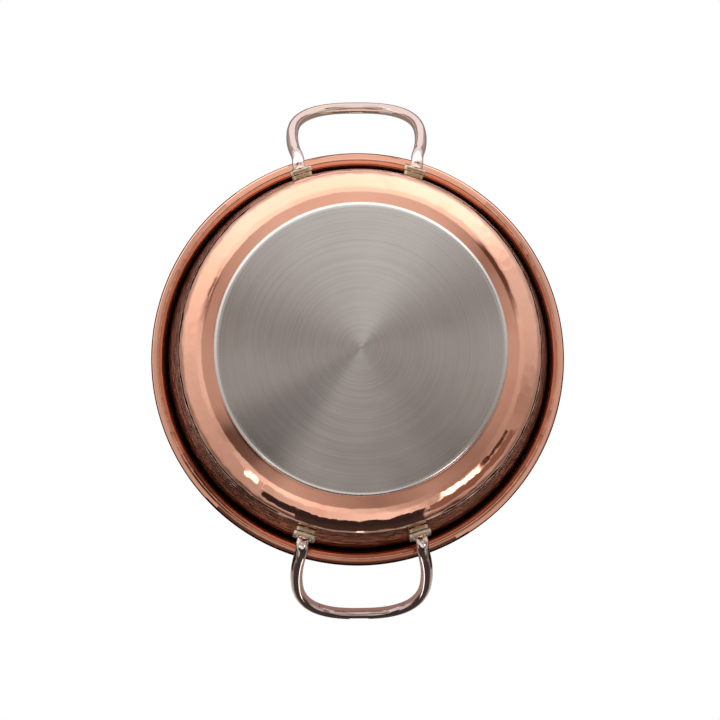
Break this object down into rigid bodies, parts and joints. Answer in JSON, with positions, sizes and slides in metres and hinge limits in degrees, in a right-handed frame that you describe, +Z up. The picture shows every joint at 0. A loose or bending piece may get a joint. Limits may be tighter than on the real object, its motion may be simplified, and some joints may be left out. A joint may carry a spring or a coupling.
{
  "type": "electric polenta pot",
  "caption": "Hammered copper pot with a steel induction base, riveted rod handles and a clamp-on electric stirring drive that turns an anchor-shaped paddle.",
  "frame": {"origin": "centre of the steel base's flat underside, on the pot's axis", "axes": "+Z up along the pot's axis; the front handle points along -Y and the rear handle along +Y; the drive's crossbar lies along X, with its rocker switch towards +X"},
  "size_m": [0.2812, 0.3564, 0.1977],
  "materials": {
    "copper": "polished copper, lightly hammered",
    "steel": "circular brushed steel",
    "stainless": "satin stainless steel",
    "polished": "polished steel rod",
    "zinc": "zinc-plated steel",
    "aluminium": "plain aluminium",
    "brass": "turned brass",
    "bronze": "sintered bronze",
    "black_plastic": "fine matte moulding",
    "red_plastic": "glossy red",
    "nylon": "natural nylon",
    "silicone": "matte silicone rubber",
    "beech": "plain beech",
    "winding": "enamelled copper wire"
  },
  "bodies": {
    "pot": {"copper_shell": "copper", "rim_wire": "zinc", "base_core": "aluminium", "base_cap": "steel", "front_handle": "polished", "front_left_spacer": "brass", "front_left_upper_rivet": "copper", "front_left_lower_rivet": "copper", "front_right_spacer": "brass", "front_right_upper_rivet": "copper", "front_right_lower_rivet": "copper", "rear_handle": "polished", "rear_left_spacer": "brass", "rear_left_upper_rivet": "copper", "rear_left_lower_rivet": "copper", "rear_right_spacer": "brass", "rear_right_upper_rivet": "copper", "rear_right_lower_rivet": "copper"},
    "drive": {"crossbar": "stainless", "left_clamp_boss": "brass", "right_clamp_boss": "brass", "housing_base": "black_plastic", "housing_cover": "black_plastic", "housing_screw_1": "zinc", "housing_screw_2": "zinc", "housing_screw_3": "zinc", "housing_screw_4": "zinc", "crossbar_screw_1": "zinc", "crossbar_screw_2": "zinc", "output_bush": "bronze", "shaft_seal": "silicone", "idler_axle": "stainless", "gear_plate": "zinc", "motor_can": "zinc", "stator_coil": "winding", "switch_body": "black_plastic", "mains_inlet": "black_plastic", "capacitor": "aluminium", "inlet_lead": "red_plastic", "motor_lead": "red_plastic"},
    "stirrer": {"output_gear": "nylon", "output_shaft": "stainless", "retaining_clip": "zinc", "cross_pin": "stainless", "paddle_hub": "stainless", "paddle_blade": "stainless", "left_scraper": "beech", "right_scraper": "beech"},
    "idler": {"idler_gear": "brass", "idler_pinion": "stainless"},
    "rotor": {"motor_rotor": "steel", "motor_shaft": "stainless", "motor_pinion": "stainless"},
    "left_slider": {"left_arm": "stainless", "left_wall_pad": "silicone"},
    "right_slider": {"right_arm": "stainless", "right_wall_pad": "silicone"},
    "left_clamp": {"left_thumbscrew": "brass"},
    "right_clamp": {"right_thumbscrew": "brass"},
    "rocker": {"switch_rocker": "red_plastic"}
  },
  "joints": [
    {"name": "drive_lift", "type": "slide", "parent": "pot", "child": "drive", "axis": [0, 0, 1], "range_m": [0, 0.15]},
    {"name": "paddle_spin", "type": "hinge", "parent": "drive", "child": "stirrer", "pos_m": [0, 0, 0.13], "axis": [0, 0, 1], "continuous": true},
    {"name": "idler_spin", "type": "hinge", "parent": "drive", "child": "idler", "pos_m": [-0.024, 0, 0.155], "axis": [0, 0, 1], "continuous": true},
    {"name": "rotor_spin", "type": "hinge", "parent": "drive", "child": "rotor", "pos_m": [0, 0, 0.175], "axis": [0, 0, 1], "continuous": true},
    {"name": "left_arm_slide", "type": "slide", "parent": "drive", "child": "left_slider", "axis": [1, 0, 0], "range_m": [0, 0.014]},
    {"name": "right_arm_slide", "type": "slide", "parent": "drive", "child": "right_slider", "axis": [-1, 0, 0], "range_m": [0, 0.014]},
    {"name": "left_screw_turn", "type": "hinge", "parent": "drive", "child": "left_clamp", "pos_m": [-0.082, 0, 0.155], "axis": [0, 0, 1], "range_deg": [0, 360]},
    {"name": "right_screw_turn", "type": "hinge", "parent": "drive", "child": "right_clamp", "pos_m": [0.082, 0, 0.155], "axis": [0, 0, 1], "range_deg": [0, 360]},
    {"name": "rocker_tilt", "type": "hinge", "parent": "drive", "child": "rocker", "pos_m": [0.042, 0, 0.1925], "axis": [1, 0, 0], "range_deg": [-16, 0]}
  ],
  "couplings": [
    {"joint": "idler_spin", "follows": "paddle_spin", "ratio": -4},
    {"joint": "rotor_spin", "follows": "paddle_spin", "ratio": 16}
  ]
}
